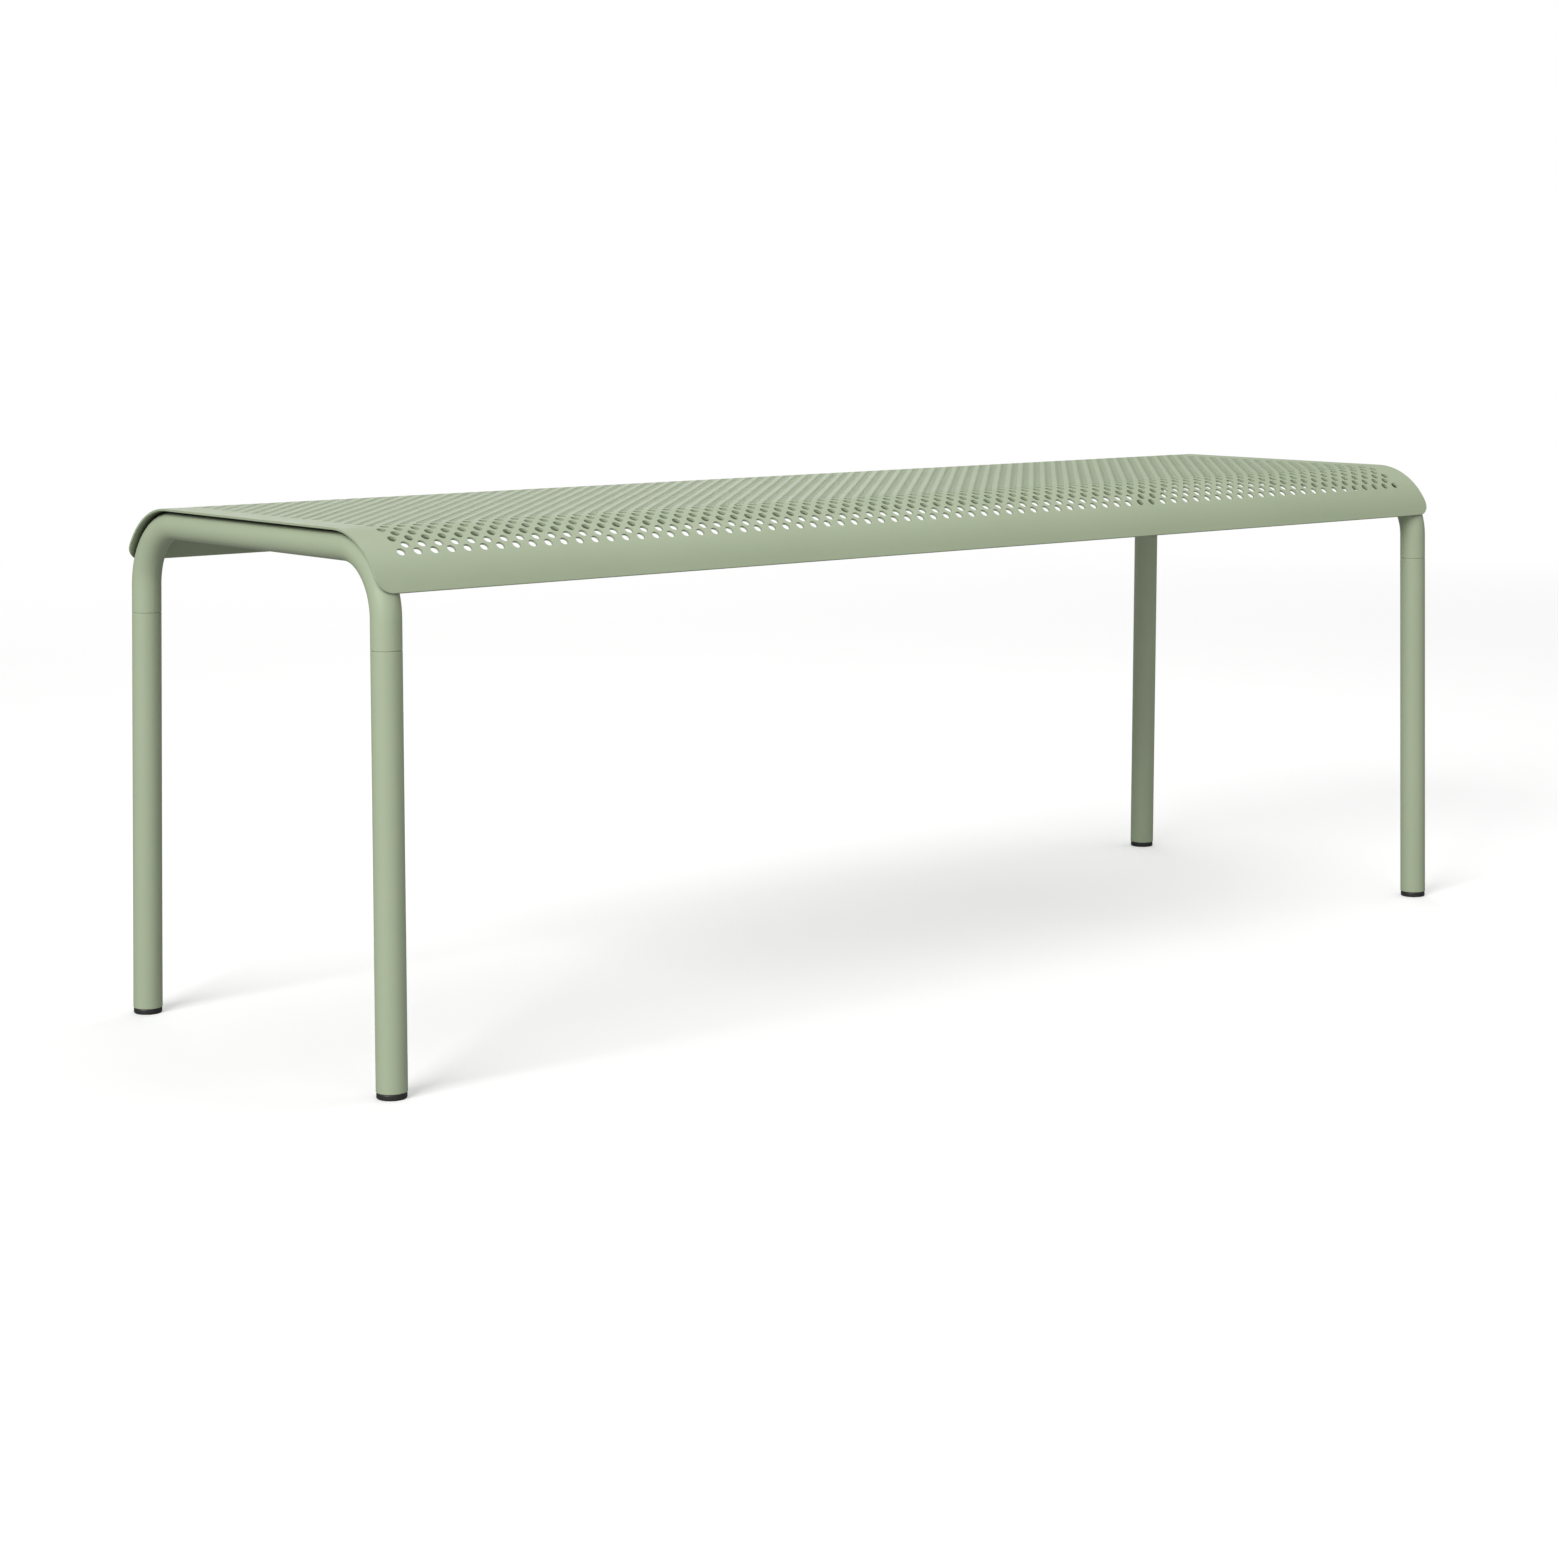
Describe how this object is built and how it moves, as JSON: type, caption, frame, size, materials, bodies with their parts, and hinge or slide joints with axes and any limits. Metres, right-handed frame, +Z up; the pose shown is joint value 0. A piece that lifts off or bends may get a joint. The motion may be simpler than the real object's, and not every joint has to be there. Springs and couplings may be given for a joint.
{
  "type": "backless bench",
  "caption": "Backless outdoor bench with a perforated sheet-metal seat on two bent-tube hoops, four screwed-on tube legs and black plastic feet.",
  "frame": {"origin": "on the floor, under the middle of the seat", "axes": "+X along the bench, -Y towards the front, +Z up"},
  "size_m": [1.3, 0.4112, 0.448],
  "materials": {
    "sage_powder_coat": "satin, fine-textured powder coat",
    "black_foot_plastic": "moulded, matt",
    "zinc_plated_steel": "zinc-plated, turned"
  },
  "bodies": {
    "root": {"seat_panel": "sage_powder_coat", "left_hoop": "sage_powder_coat", "left_seat_welds": "sage_powder_coat", "right_hoop": "sage_powder_coat", "right_seat_welds": "sage_powder_coat", "leg_front_left": "sage_powder_coat", "foot_front_left": "black_foot_plastic", "socket_front_left": "zinc_plated_steel", "stud_front_left": "zinc_plated_steel", "leg_front_right": "sage_powder_coat", "foot_front_right": "black_foot_plastic", "socket_front_right": "zinc_plated_steel", "stud_front_right": "zinc_plated_steel", "leg_back_left": "sage_powder_coat", "foot_back_left": "black_foot_plastic", "socket_back_left": "zinc_plated_steel", "stud_back_left": "zinc_plated_steel", "leg_back_right": "sage_powder_coat", "foot_back_right": "black_foot_plastic", "socket_back_right": "zinc_plated_steel", "stud_back_right": "zinc_plated_steel"}
  },
  "joints": []
}
